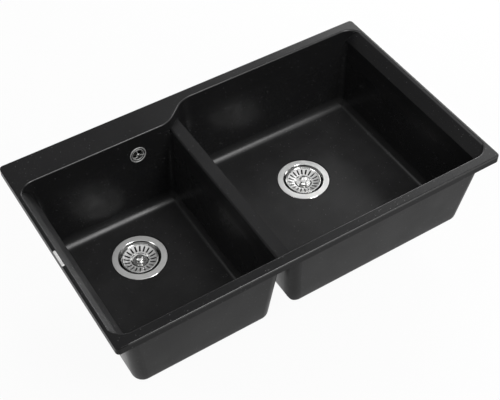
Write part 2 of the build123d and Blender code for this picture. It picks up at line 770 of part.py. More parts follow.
def overflow_screw():
    """Return the screw that holds the rosette to the elbow."""
    low = -ROSETTE_RISE + 1.2
    end = WALL + OVERFLOW_GASKET + 9
    screw = turned([
        (0, low - 1.4),
        (OVERFLOW_SCREW_HEAD_R - 1.0, low - 1.4),
        (OVERFLOW_SCREW_HEAD_R, low - 0.5),
        (OVERFLOW_SCREW_HEAD_R, low),
        (OVERFLOW_SCREW_R, low),
        (OVERFLOW_SCREW_R, end - 1),
        (OVERFLOW_SCREW_R - 1, end),
        (0, end),
    ])
    screw -= Pos(0, 0, low - 1.4) * Box(4 * OVERFLOW_SCREW_HEAD_R, 0.9, 1.6)
    return overflow_plane(0) * screw


def wall_through():
    """Return the distance through the drafted wall at right angles to it."""
    return WALL * cos(radians(FRONT_DRAFT))


def overflow_gasket():
    """Return the gasket between the bowl wall and the elbow."""
    gasket = ring(OVERFLOW_HOLE_R + 1, ELBOW_FLANGE_R - 0.5, 0, OVERFLOW_GASKET)
    return overflow_plane(wall_through()) * gasket


def elbow_foot():
    """Return the lower end of the elbow's drop, where the hose begins."""
    drop = overflow_plane(ELBOW_DROP_AT).origin
    return Vector(drop.X, drop.Y, drop.Z - ELBOW_DROP)


def overflow_elbow():
    """Return the elbow: flange on the wall, chamber, screw boss and threaded drop."""
    start = wall_through() + OVERFLOW_GASKET
    length = ELBOW_END - start
    outside = ring(0, ELBOW_FLANGE_R, 0, ELBOW_FLANGE) + turned([
        (0, 0),
        (ELBOW_R, 0),
        (ELBOW_R, length - 4),
        (ELBOW_R - 1.2, length - 1.2),
        (ELBOW_R - 4, length),
        (0, length),
    ])
    bore_r = ELBOW_R - ELBOW_WALL
    boss_depth = 11
    inside = ring(0, bore_r, -1, length - ELBOW_WALL)
    boss = ring(OVERFLOW_SCREW_R + THREAD_FIT, ROSETTE_HUB_R, 0, boss_depth)
    web = Box(2 * bore_r + 1, 2.2, boss_depth, align=(Align.CENTER, Align.CENTER, Align.MIN))
    web -= Cylinder(ROSETTE_HUB_R - 0.5, 4 * boss_depth)
    place = overflow_plane(start)
    drop = Location(elbow_foot()) * Rot(180, 0, 0) * Pos(0, 0, -ELBOW_DROP)
    bore = drop * Cylinder(
        HOSE_R - HOSE_WALL, 2 * ELBOW_DROP, align=(Align.CENTER, Align.CENTER, Align.MIN)
    )
    tube = drop * spigot(ELBOW_DROP)
    return place * outside + tube - place * inside - bore + place * (boss + web)


def hose_ends():
    """Return the two ends of the hose and the corner of its route."""
    top = elbow_foot() - Vector(0, 0, HOSE_SEAL)
    low_z = FLOOR_Z - SPIGOT_DEPTH
    turn = radians(inlet_turn())
    reach = SPIGOT_LENGTH + HOSE_SEAL
    end = Vector(SMALL_DRAIN_X + reach * cos(turn), DRAIN_Y + reach * sin(turn), low_z)
    return top, Vector(top.X, top.Y, low_z), end


def along(start, toward):
    """Return the location at a point whose Z axis looks toward another point."""
    return Plane(origin=start, z_dir=toward - start).location


def overflow_hose():
    """Return the hose on its route down the back wall and under the bowl, with end collars."""
    top, corner, end = hose_ends()
    route = FilletPolyline(top, corner, end, radius=HOSE_BEND_R)
    start = along(top, corner)
    hose = sweep(Plane(start) * Circle(HOSE_R), path=route)
    hose += start * Cylinder(
        HOSE_COLLAR_R, HOSE_COLLAR, align=(Align.CENTER, Align.CENTER, Align.MIN)
    )
    hose += along(end, corner) * Cylinder(
        HOSE_COLLAR_R, HOSE_COLLAR, align=(Align.CENTER, Align.CENTER, Align.MIN)
    )
    return hose - sweep(Plane(start) * Circle(HOSE_R - HOSE_WALL), path=route)


def hose_nut():
    """Return a hose nut; its seal starts at z = 0 and the hose leaves along +Z."""
    lip_low = HOSE_SEAL + HOSE_COLLAR + THREAD_FIT
    high = lip_low + HOSE_NUT_LIP
    low = high - HOSE_NUT_LENGTH
    nut = turned([
        (SPIGOT_R + THREAD_FIT, low),
        (HOSE_NUT_R, low),
        (HOSE_NUT_R, high - 1.5),
        (HOSE_NUT_R - 1.5, high),
        (HOSE_R + FIT, high),
        (HOSE_R + FIT, lip_low),
        (SPIGOT_R + THREAD_FIT, lip_low),
    ])
    rib = Pos(HOSE_NUT_R - 0.5, 0, low) * Box(
        1.6, 2.4, HOSE_NUT_LENGTH - 3, align=(Align.MIN, Align.CENTER, Align.MIN)
    )
    for index in range(HOSE_NUT_RIBS):
        nut += Rot(0, 0, index * 360 / HOSE_NUT_RIBS) * rib
    return nut


def hose_seal():
    """Return the flat seal between a spigot and a hose collar."""
    return ring(HOSE_R - HOSE_WALL, HOSE_COLLAR_R, 0, HOSE_SEAL)


def upper_union():
    """Return the location of the hose union below the elbow."""
    foot = elbow_foot()
    return along(foot, foot - Vector(0, 0, 1))


def lower_union():
    """Return the location of the hose union at the waste body."""
    top, corner, end = hose_ends()
    outward = (corner - end).normalized()
    return along(end - outward * HOSE_SEAL, end)


def save(solid, node):
    """Write one sub-part to its own file."""
    export_step(solid, f"parts/{node}.step")


save(sink_basin(), "sink_basin")

WASTES = [
    ("small_bowl", SMALL_DRAIN_X, waste_body_with_inlet),
    ("large_bowl", LARGE_DRAIN_X, waste_body),
]
for bowl, drain_x, body in WASTES:
    seat = Pos(drain_x, DRAIN_Y, FLOOR_Z)
    save(seat * strainer_cup(), f"{bowl}_strainer_cup")
    save(seat * flange_gasket(), f"{bowl}_flange_gasket")
    save(seat * waste_gasket(), f"{bowl}_waste_gasket")
    save(seat * body(), f"{bowl}_waste_body")
    save(seat * clamp_screw(), f"{bowl}_clamp_screw")
    save(seat * clamp_nut(), f"{bowl}_clamp_nut")
    save(seat * basket(), f"{bowl}_basket")
    save(seat * basket_knob(), f"{bowl}_basket_knob")
    save(seat * basket_stem(), f"{bowl}_basket_stem")
    save(seat * basket_seal(), f"{bowl}_basket_seal")

save(overflow_rosette(), "overflow_rosette")
save(overflow_screw(), "overflow_screw")
save(overflow_gasket(), "overflow_gasket")
save(overflow_elbow(), "overflow_elbow")
save(overflow_hose(), "overflow_hose")
save(upper_union() * hose_nut(), "overflow_upper_nut")
save(upper_union() * hose_seal(), "overflow_upper_seal")
save(lower_union() * hose_nut(), "overflow_lower_nut")
save(lower_union() * hose_seal(), "overflow_lower_seal")
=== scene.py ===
"""Double bowl kitchen sink in black stone composite, dressed and lit for a studio picture.

Metres throughout. The plane z = 0 is the worktop, X runs along the long side of the sink, Y points to
the tap ledge and Z is up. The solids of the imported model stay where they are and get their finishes
here. Pieces with fine relief (hose, threads, rosette, the bare edge plate) and the foot of the divider
wall are worked out as surfaces.
"""
import logging
from dataclasses import dataclass, replace
from enum import Enum
from math import cos, dist, pi, radians, sin
from typing import Sequence

import bmesh
import bpy
import numpy as np
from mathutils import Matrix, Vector


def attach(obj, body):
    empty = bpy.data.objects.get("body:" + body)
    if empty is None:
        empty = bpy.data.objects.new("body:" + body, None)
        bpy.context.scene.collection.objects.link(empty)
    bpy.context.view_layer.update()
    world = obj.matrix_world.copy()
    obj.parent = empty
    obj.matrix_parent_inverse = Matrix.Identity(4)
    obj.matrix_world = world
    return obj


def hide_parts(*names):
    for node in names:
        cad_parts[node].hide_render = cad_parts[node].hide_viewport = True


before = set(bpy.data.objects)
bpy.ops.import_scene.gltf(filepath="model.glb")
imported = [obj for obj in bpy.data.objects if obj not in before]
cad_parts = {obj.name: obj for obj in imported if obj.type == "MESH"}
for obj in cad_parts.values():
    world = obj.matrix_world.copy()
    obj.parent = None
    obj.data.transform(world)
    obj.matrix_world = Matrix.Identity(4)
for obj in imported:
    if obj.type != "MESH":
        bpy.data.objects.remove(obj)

LOG = logging.getLogger("sink")
Colour = tuple[float, float, float]
Pair = tuple[float, float]
Point = tuple[float, float, float]
Band = tuple[float, float, float, float]
Socket = bpy.types.NodeSocket


class Bowl(Enum):
    """The two bowls, by the name that their pieces carry."""

    SMALL = "small_bowl"
    LARGE = "large_bowl"

    @property
    def drain(self) -> Point:
        """Centre of the bowl's drain on its floor, in metres."""
        return (-0.2365, 0.053, -0.183) if self is Bowl.SMALL else (0.171, 0.053, -0.183)


class Lay(Enum):
    """How the fine lines of a metal finish run."""

    TURNED = "rings round the piece's own axis"
    DRAWN = "straight along one direction"


@dataclass(frozen=True)
class Flecks:
    """One size of round specks: cells per metre, radius and share of the cells, and strength."""

    scale: float
    size: float
    share: float
    strength: float = 1.0


class Sheet:
    """A material's node tree with short calls to add and join nodes."""

    def __init__(self, name: str) -> None:
        """Start a material with one principled shader.

        Args:
            name: name of the new material.
        """
        self.material = bpy.data.materials.new(name)
        self.material.use_nodes = True
        self.tree = self.material.node_tree
        self.tree.nodes.clear()
        self.shader = self.add("ShaderNodeBsdfPrincipled")
        self.output = self.add("ShaderNodeOutputMaterial")
        self.join(self.shader.outputs["BSDF"], self.output.inputs["Surface"])
        self.place = self.add("ShaderNodeTexCoord").outputs["Object"]

    def add(self, kind: str, **settings: object) -> bpy.types.Node:
        """Add a node and set its properties.

        Args:
            kind: Blender's name of the node type.
            settings: property values of the node.

        Returns:
            The new node.
        """
        node = self.tree.nodes.new(kind)
        for key, value in settings.items():
            setattr(node, key, value)
        return node

    def join(self, source: Socket, target: Socket) -> None:
        """Link an output to an input."""
        self.tree.links.new(source, target)

    def fix(self, **values: object) -> None:
        """Set constant sockets of the shader.

        Args:
            values: socket names with underscores for spaces, and their values.
        """
        for key, value in values.items():
            self.shader.inputs[key.replace("_", " ")].default_value = value

    def mapped(self, centre: Point, scale: Point = (1, 1, 1), turn: Point = (0, 0, 0)) -> Socket:
        """Return the object coordinates centred on a point.

        Args:
            centre: the point that becomes the pattern's origin.
            scale: stretch of the pattern along each axis.
            turn: rotation of the pattern in degrees.
        """
        shift = self.add("ShaderNodeMapping", vector_type="POINT")
        shift.inputs["Location"].default_value = tuple(-value for value in centre)
        self.join(self.place, shift.inputs["Vector"])
        spin = self.add("ShaderNodeMapping", vector_type="POINT")
        spin.inputs["Rotation"].default_value = tuple(radians(value) for value in turn)
        spin.inputs["Scale"].default_value = scale
        self.join(shift.outputs["Vector"], spin.inputs["Vector"])
        return spin.outputs["Vector"]

    def noise(self, scale: float, detail: float = 2.0, roughness: float = 0.5,
              vector: Socket | None = None) -> Socket:
        """Return the factor of a noise pattern.

        Args:
            scale: features per metre.
            detail: octaves of finer noise.
            roughness: weight of the finer octaves.
            vector: coordinates, the object's own by default.
        """
        node = self.add("ShaderNodeTexNoise")
        node.inputs["Scale"].default_value = scale
        node.inputs["Detail"].default_value = detail
        node.inputs["Roughness"].default_value = roughness
        self.join(vector or self.place, node.inputs["Vector"])
        return node.outputs["Fac"]

    def ranged(self, value: Socket, low: float, high: float, new_low: float = 0.0,
               new_high: float = 1.0) -> Socket:
        """Return a value carried from one range to another and held inside it.

        Args:
            value: the input value.
            low: input that gives new_low.
            high: input that gives new_high.
            new_low: first end of the result.
            new_high: second end of the result.
        """
        node = self.add("ShaderNodeMapRange", clamp=True, interpolation_type="SMOOTHSTEP")
        ends = {"From Min": low, "From Max": high, "To Min": new_low, "To Max": new_high}
        for name, number in ends.items():
            node.inputs[name].default_value = number
        self.join(value, node.inputs["Value"])
        return node.outputs["Result"]

    def maths(self, operation: str, first: Socket, second: Socket | float) -> Socket:
        """Return the result of a sum or product of two values.

        Args:
            operation: Blender's name of the operation.
            first: first value.
            second: second value, a socket or a number.
        """
        node = self.add("ShaderNodeMath", operation=operation)
        self.join(first, node.inputs[0])
        if isinstance(second, (int, float)):
            node.inputs[1].default_value = second
        else:
            self.join(second, node.inputs[1])
        return node.outputs[0]

    def blended(self, factor: Socket, first: Colour | Socket, second: Colour | Socket) -> Socket:
        """Return a colour between two colours.

        Args:
            factor: 0 for the first colour and 1 for the second.
            first: a colour or a colour socket.
            second: a colour or a colour socket.
        """
        node = self.add("ShaderNodeMix", data_type="RGBA")
        self.join(factor, node.inputs["Factor"])
        for socket, colour in ((node.inputs[6], first), (node.inputs[7], second)):
            if isinstance(colour, tuple):
                socket.default_value = (*colour, 1.0)
            else:
                self.join(colour, socket)
        return node.outputs[2]

    def bump(self, height: Socket, distance: float, strength: float, under: Socket | None = None) -> Socket:
        """Return a normal bent by a height pattern.

        Args:
            height: the pattern.
            distance: height of the relief in metres.
            strength: share of the relief that is used.
            under: a normal that this relief adds to.
        """
        node = self.add("ShaderNodeBump")
        node.inputs["Distance"].default_value = distance
        node.inputs["Strength"].default_value = strength
        self.join(height, node.inputs["Height"])
        if under is not None:
            self.join(under, node.inputs["Normal"])
        return node.outputs["Normal"]

    def from_axis(self, vector: Socket) -> Socket:
        """Return the distance from the Z axis of the given coordinates."""
        flat = self.add("ShaderNodeVectorMath", operation="MULTIPLY")
        flat.inputs[1].default_value = (1, 1, 0)
        self.join(vector, flat.inputs[0])
        length = self.add("ShaderNodeVectorMath", operation="LENGTH")
        self.join(flat.outputs[0], length.inputs[0])
        return length.outputs["Value"]

    def level(self, vector: Socket) -> Socket:
        """Return the Z of the given coordinates."""
        split = self.add("ShaderNodeSeparateXYZ")
        self.join(vector, split.inputs["Vector"])
        return split.outputs["Z"]

    def plateau(self, value: Socket, ends: Band, top: float = 1.0) -> Socket:
        """Return a value that rises from 0 to a top and falls back.

        Args:
            value: the input value.
            ends: inputs where the plateau begins, is full, is still full and has ended.
            top: value on the plateau.
        """
        rise = self.ranged(value, ends[0], ends[1])
        return self.maths("MULTIPLY", rise, self.ranged(value, ends[2], ends[3], top, 0.0))

    def around(self, value: Socket, middle: float, spread: float) -> Socket:
        """Return a noise value carried to a range about a middle.

        Args:
            value: factor of a noise pattern.
            middle: centre of the range.
            spread: distance of its ends from the centre.
        """
        return self.ranged(value, 0.3, 0.7, middle - spread, middle + spread)

    def specks(self, flecks: Flecks) -> Socket:
        """Return a mask of round specks: cells whose random value passes, near their centre."""
        cells = self.add("ShaderNodeTexVoronoi", feature="F1")
        cells.inputs["Scale"].default_value = flecks.scale
        self.join(self.place, cells.inputs["Vector"])
        split = self.add("ShaderNodeSeparateColor")
        self.join(cells.outputs["Color"], split.inputs["Color"])
        near = self.ranged(cells.outputs["Distance"], flecks.size * 0.6, flecks.size, 1.0, 0.0)
        threshold = 1.0 - flecks.share
        chosen = self.ranged(split.outputs["Red"], threshold, threshold + 0.01)
        return self.maths("MULTIPLY", near, chosen)


@dataclass(frozen=True)
class CompositeFinish:
    """Matt black stone composite: fine grain, small bright flecks and a soft sheen.

    Use has polished the coves and back walls of the bowls and the rounded edges of the deck, away from
    its left end. Painted light gives the bowl floors a lighter colour. All are bands of height.
    """

    dark: Colour = (0.0046, 0.0046, 0.0048)
    light: Colour = (0.0096, 0.0096, 0.0099)
    # painted light: the lighter colour of the bowl floors
    painted_floor_light: Colour = (0.0190, 0.0190, 0.0193)
    fleck: Colour = (0.30, 0.30, 0.305)
    coarse: Flecks = Flecks(230, 0.13, 0.16, 0.8)
    fine: Flecks = Flecks(620, 0.16, 0.12, 0.45)
    grain_scale: float = 1300.0
    cloud_scale: float = 22.0
    wear_scale: float = 14.0
    roughness: float = 0.33
    wear: float = 0.03
    sheen_level: float = 0.068
    cove_sheen: float = 0.36
    wall_sheen: float = 0.22
    wall_polish: float = 0.08
    edge_sheen: float = 0.42
    grain_height: float = 0.00012
    fleck_height: float = 0.00005
    # heights where the painted floor light is full below and fades out above
    painted_floor_light_band: Pair = (-0.176, -0.150)
    cove_band: Band = (-0.1826, -0.1808, -0.168, -0.152)
    wall_band: Band = (-0.168, -0.152, -0.060, -0.020)
    edge_band: Band = (0.0132, 0.0146, 0.0166, 0.0169)
    left_end: Pair = (-0.405, -0.395)
    front_end: Pair = (-0.200, -0.150)

    def body(self, sheet: Sheet, grain: Socket, height: Socket) -> Socket:
        """Return the colour under the flecks: two blacks mixed by the grain, and painted light on the floors
        by height.
        """
        cloud = sheet.noise(self.cloud_scale, 3)
        fine = sheet.ranged(grain, 0.3, 0.7)
        mix = sheet.maths("MULTIPLY", fine, sheet.ranged(cloud, 0.2, 0.8, 0.7, 1.0))
        # painted light: the bowl floors get the lighter colour, unevenly by the cloud
        floor_zone = sheet.ranged(height, *self.painted_floor_light_band, 1.0, 0.0)
        painted_floor_light = sheet.maths("MULTIPLY", floor_zone, sheet.ranged(cloud, 0.2, 0.8, 0.6, 1.0))
        return sheet.blended(painted_floor_light, sheet.blended(mix, self.dark, self.light), self.painted_floor_light)

    def sheen(self, sheet: Sheet, height: Socket, from_left: Socket, reached: Socket,
              walls: Socket) -> Socket:
        """Return the reflection level: plain, more on coves, back walls and edges.

        Args:
            sheet: the material's node tree.
            height: Z of the point.
            from_left: 1 away from the left end.
            reached: 1 away from the left end and the front.
            walls: 1 on the polished part of the walls.
        """
        coves = sheet.plateau(height, self.cove_band, self.cove_sheen - self.sheen_level)
        edges = sheet.plateau(height, self.edge_band, self.edge_sheen - self.sheen_level)
        inside = sheet.maths("ADD", sheet.maths("MULTIPLY", reached, coves),
                             sheet.maths("MULTIPLY", walls, self.wall_sheen - self.sheen_level))
        outside = sheet.maths("ADD", sheet.maths("MULTIPLY", from_left, edges), self.sheen_level)
        return sheet.maths("ADD", outside, inside)

    def rough(self, sheet: Sheet, grain: Socket, walls: Socket) -> Socket:
        """Return the roughness: worn in patches, uneven with the grain, less on the polished walls."""
        worn = sheet.around(sheet.noise(self.wear_scale, 4), self.roughness, self.wear)
        uneven = sheet.maths("ADD", worn, sheet.ranged(grain, 0.3, 0.7, -0.02, 0.03))
        return sheet.maths("SUBTRACT", uneven, sheet.maths("MULTIPLY", walls, self.wall_polish))

    def material(self, name: str) -> bpy.types.Material:
        """Return the material under a name."""
        sheet = Sheet(name)
        grain = sheet.noise(self.grain_scale, 4, 0.65)
        split = sheet.add("ShaderNodeSeparateXYZ")
        sheet.join(sheet.place, split.inputs["Vector"])
        height = split.outputs["Z"]
        from_left = sheet.ranged(split.outputs["X"], *self.left_end)
        from_front = sheet.ranged(split.outputs["Y"], *self.front_end)
        reached = sheet.maths("MULTIPLY", from_left, from_front)
        walls = sheet.maths("MULTIPLY", reached, sheet.plateau(height, self.wall_band))
        coarse, fine = sheet.specks(self.coarse), sheet.specks(self.fine)
        flecks = sheet.maths("ADD", sheet.maths("MULTIPLY", coarse, self.coarse.strength),
                             sheet.maths("MULTIPLY", fine, self.fine.strength))
        colour = sheet.blended(flecks, self.body(sheet, grain, height), self.fleck)
        sheet.join(colour, sheet.shader.inputs["Base Color"])
        sheen = self.sheen(sheet, height, from_left, reached, walls)
        sheet.join(sheen, sheet.shader.inputs["Specular IOR Level"])
        sheet.join(self.rough(sheet, grain, walls), sheet.shader.inputs["Roughness"])
        relief = sheet.bump(grain, self.grain_height, 0.22)
        relief = sheet.bump(coarse, self.fleck_height, 0.2, relief)
        sheet.join(relief, sheet.shader.inputs["Normal"])
        return sheet.material


@dataclass(frozen=True)
class PassageShade:
    """Painted shade: a dark colour inside a round passage, where little light reaches.

    The passage runs along Z of a frame at the centre, turned by the angles in degrees.
    """

    centre: Point
    turn: Point
    radius: float
    reach: Pair
    # colour of the painted shade
    colour: Colour = (0.010, 0.010, 0.009)
    soft_radius: float = 0.0002
    soft_end: float = 0.0004

    def over(self, sheet: Sheet, body: Socket) -> Socket:
        """Return the body colour with the painted shade over it."""
        vector = sheet.mapped(self.centre, turn=self.turn)
        edge = self.radius - self.soft_radius
        inside = sheet.ranged(sheet.from_axis(vector), edge, self.radius, 1.0, 0.0)
        low, high = self.reach
        ends = (low, low + self.soft_end, high - self.soft_end, high)
        mask = sheet.maths("MULTIPLY", inside, sheet.plateau(sheet.level(vector), ends))
        return sheet.blended(mask, body, self.colour)


@dataclass(frozen=True)
class MetalFinish:
    """Stainless steel or brass with fine lines, smudges and hairline wear."""

    colour: Colour = (0.60, 0.60, 0.595)
    roughness: float = 0.16
    line_scale: float = 900.0
    line_waver: float = 1.5
    line_depth: float = 0.000012
    lay: Lay = Lay.TURNED
    drawn_scale: float = 60.0
    drawn_stretch: Point = (1, 40, 40)
    smudge_scale: float = 55.0
    smudge_tint: float = 0.94
    smudge_shine: Pair = (0.85, 1.2)
    scratch_scale: float = 300.0
    scratch_stretch: Point = (0.15, 3, 3)
    scratch_turn: Point = (20, 10, 35)
    scratch_range: Pair = (0.62, 0.75)
    scratch_dull: float = 0.08
    satin: Pair | None = None
    satin_metal: float = 0.35
    satin_roughness: float = 0.40
    satin_spread: float = 0.03
    satin_edge: float = 0.0004
    # painted shade inside the piece's passage, if any
    passage_shade: PassageShade | None = None

    def material(self, name: str, centre: Point, turn: Point = (0, 0, 0)) -> bpy.types.Material:
        """Return the material centred on the piece's own axis.

        Args:
            name: name of the material.
            centre: a point on the piece's axis.
            turn: rotation that stands the axis upright, in degrees.
        """
        sheet = Sheet(name)
        if self.lay is Lay.TURNED:
            vector = sheet.mapped(centre, turn=turn)
            rings = sheet.add("ShaderNodeTexWave", wave_type="RINGS", rings_direction="Z")
            rings.inputs["Scale"].default_value = self.line_scale
            rings.inputs["Distortion"].default_value = self.line_waver
            rings.inputs["Detail"].default_value = 2.0
            sheet.join(vector, rings.inputs["Vector"])
            lines = rings.outputs["Fac"]
        else:
            drawn = sheet.mapped(centre, self.drawn_stretch, turn)
            lines = sheet.noise(self.drawn_scale, 3, vector=drawn)
        smudge = sheet.noise(self.smudge_scale, 4)
        scratched = sheet.mapped(centre, self.scratch_stretch, self.scratch_turn)
        scratch = sheet.noise(self.scratch_scale, 2, vector=scratched)
        tint = sheet.ranged(smudge, 0.3, 0.75)
        darker = tuple(value * self.smudge_tint for value in self.colour)
        body = sheet.blended(tint, self.colour, darker)
        # the painted shade goes over the body colour
        sheet.join(self.passage_shade.over(sheet, body) if self.passage_shade else body, sheet.shader.inputs["Base Color"])
        low, high = [self.roughness * share for share in self.smudge_shine]
        rough = sheet.ranged(smudge, 0.3, 0.7, low, high)
        dull = sheet.ranged(scratch, *self.scratch_range, 0.0, self.scratch_dull)
        rough = sheet.maths("ADD", rough, dull)
        if self.satin is None:
            sheet.fix(Metallic=1.0)
        else:
            satin = self.satin_ring(sheet, sheet.mapped(centre, turn=turn))
            matt = sheet.around(smudge, self.satin_roughness, self.satin_spread)
            gap = sheet.maths("MULTIPLY", satin, sheet.maths("SUBTRACT", matt, rough))
            rough = sheet.maths("ADD", rough, gap)
            metal = sheet.ranged(satin, 0.0, 1.0, 1.0, self.satin_metal)
            sheet.join(metal, sheet.shader.inputs["Metallic"])
        sheet.join(rough, sheet.shader.inputs["Roughness"])
        relief = sheet.bump(lines, self.line_depth, 0.35)
        sheet.join(relief, sheet.shader.inputs["Normal"])
        return sheet.material

    def satin_ring(self, sheet: Sheet, vector: Socket) -> Socket:
        """Return 1 between the two satin radii round the Z axis of the coordinates and 0 elsewhere."""
        inner, outer = self.satin
        soft = self.satin_edge
        ends = (inner - soft, inner + soft, outer - soft, outer + soft)
        return sheet.plateau(sheet.from_axis(vector), ends)


@dataclass(frozen=True)
class MouldedFinish:
    """Moulded plastic or rubber: faint mottling, fine grain, dust and a few scuffs."""

    colour: Colour
    shade: Colour
    roughness: float
    wear: float = 0.07
    mottle_scale: float = 38.0
    flow_scale: float = 45.0
    flow_stretch: Point = (1, 1, 0.25)
    grain: float = 1100.0
    relief: float = 0.00006
    flow_height: float = 0.0004
    dust: Colour | None = None
    dust_specks: Flecks = Flecks(700, 0.2, 0.1)
    # painted shade inside the piece's passage, if any
    passage_shade: PassageShade | None = None

    def material(self, name: str) -> bpy.types.Material:
        """Return the material under a name."""
        sheet = Sheet(name)
        mottle = sheet.ranged(sheet.noise(self.mottle_scale, 4), 0.3, 0.7)
        body = sheet.blended(mottle, self.colour, self.shade)
        grain = sheet.noise(self.grain, 3, 0.6)
        if self.dust is not None:
            body = sheet.blended(sheet.specks(self.dust_specks), body, self.dust)
        # the painted shade goes over the body colour
        sheet.join(self.passage_shade.over(sheet, body) if self.passage_shade else body, sheet.shader.inputs["Base Color"])
        flow = sheet.noise(self.flow_scale, 3, vector=sheet.mapped((0, 0, 0), self.flow_stretch))
        sheet.join(sheet.around(flow, self.roughness, self.wear), sheet.shader.inputs["Roughness"])
        relief = sheet.bump(grain, self.relief, 0.3)
        sheet.join(sheet.bump(flow, self.flow_height, 0.12, relief), sheet.shader.inputs["Normal"])
        return sheet.material


COMPOSITE = CompositeFinish()
POLISHED = MetalFinish(roughness=0.12)
CUP_STEEL = MetalFinish(colour=(0.50, 0.50, 0.495), roughness=0.12, satin=(0.0446, 0.0568))
BASKET_STEEL = MetalFinish(colour=(0.60, 0.60, 0.595), roughness=0.12, line_scale=620.0,
                           satin=(0.0192, 0.0352), satin_metal=0.45, satin_roughness=0.32)
ROSETTE_STEEL = MetalFinish(colour=(0.33, 0.33, 0.326), roughness=0.30, line_scale=700.0,
                            satin=(0.0, 0.02), satin_metal=0.40, satin_roughness=0.42)
ROSETTE_SCREW = MetalFinish(colour=(0.20, 0.20, 0.198), roughness=0.42, line_scale=700.0)
PRESSED = MetalFinish(colour=(0.58, 0.58, 0.575), roughness=0.20, line_scale=620.0)
BRUSHED = MetalFinish(colour=(0.56, 0.56, 0.555), roughness=0.28, lay=Lay.DRAWN)
BRASS = MetalFinish(colour=(0.66, 0.47, 0.21), roughness=0.30, line_scale=700.0)
RUBBER = MouldedFinish((0.020, 0.020, 0.021), (0.032, 0.032, 0.033), 0.68, dust=(0.09, 0.09, 0.085))
WHITE_PLASTIC = MouldedFinish((0.74, 0.74, 0.72), (0.66, 0.66, 0.635), 0.42)
HOSE_PLASTIC = MouldedFinish((0.62, 0.63, 0.62), (0.54, 0.55, 0.54), 0.48, grain=800.0)


def linked(name: str, data: bpy.types.ID) -> bpy.types.Object:
    """Return a new object in the scene with a mesh, lamp or camera."""
    thing = bpy.data.objects.new(name, data)
    bpy.context.scene.collection.objects.link(thing)
    return thing


def aimed(name: str, data: bpy.types.ID, place: Vector, way: Vector) -> bpy.types.Object:
    """Return a new lamp or camera that stands at a place and looks along a unit vector."""
    thing = linked(name, data)
    thing.location = place
    thing.rotation_euler = way.to_track_quat("-Z", "Y").to_euler()
    return thing


def direction(bearing: float, height: float) -> Vector:
    """Return a unit vector: bearing from +Y towards +X and height above the horizon, in degrees."""
    turn, rise = radians(bearing), radians(height)
    return Vector((sin(turn) * cos(rise), cos(turn) * cos(rise), sin(rise)))


def dress(node: str, material: bpy.types.Material) -> None:
    """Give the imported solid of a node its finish."""
    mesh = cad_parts[node].data
    mesh.materials.clear()
    mesh.materials.append(material)
    LOG.info("finish %s on %s", material.name, node)


def loop_grid(points: np.ndarray, closed_along: bool) -> tuple[np.ndarray, np.ndarray]:
    """Return vertices and quads of a grid whose second direction is a closed loop.

    Vertex (i, j) joins (i + 1, j), (i + 1, j + 1) and (i, j + 1), with j taken round the loop.

    Args:
        points: array of shape (rows, loop, 3).
        closed_along: whether the last row joins the first one.
    """
    rows, loop, _ = points.shape
    last = rows if closed_along else rows - 1
    i, j = np.meshgrid(np.arange(last), np.arange(loop), indexing="ij")
    ahead, beside = (i + 1) % rows, (j + 1) % loop
    quads = np.stack([i * loop + j, ahead * loop + j, ahead * loop + beside, i * loop + beside], axis=-1)
    return points.reshape(-1, 3), quads.reshape(-1, 4)


def make_piece(name: str, vertices: np.ndarray, quads: np.ndarray, material: bpy.types.Material,
               body: str, smooth: bool = True) -> bpy.types.Object:
    """Make one mesh piece at its place and let it ride on a body.

    Args:
        name: name of the piece.
        vertices: points in metres, in the sink's frame.
        quads: four vertex numbers per face.
        material: finish of the piece.
        body: the body that it moves with.
        smooth: whether its faces are shaded smoothly.

    Returns:
        The new object.
    """
    mesh = bpy.data.meshes.new(name)
    mesh.from_pydata(vertices.tolist(), [], quads.tolist())
    work = bmesh.new()
    work.from_mesh(mesh)
    bmesh.ops.remove_doubles(work, verts=work.verts, dist=1e-7)
    bmesh.ops.recalc_face_normals(work, faces=work.faces)
    work.to_mesh(mesh)
    work.free()
    mesh.polygons.foreach_set("use_smooth", [smooth] * len(mesh.polygons))
    mesh.materials.append(material)
    mesh.update()
    piece = linked(name, mesh)
    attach(piece, body)
    LOG.info("piece %s with %d faces", name, len(mesh.polygons))
    return piece


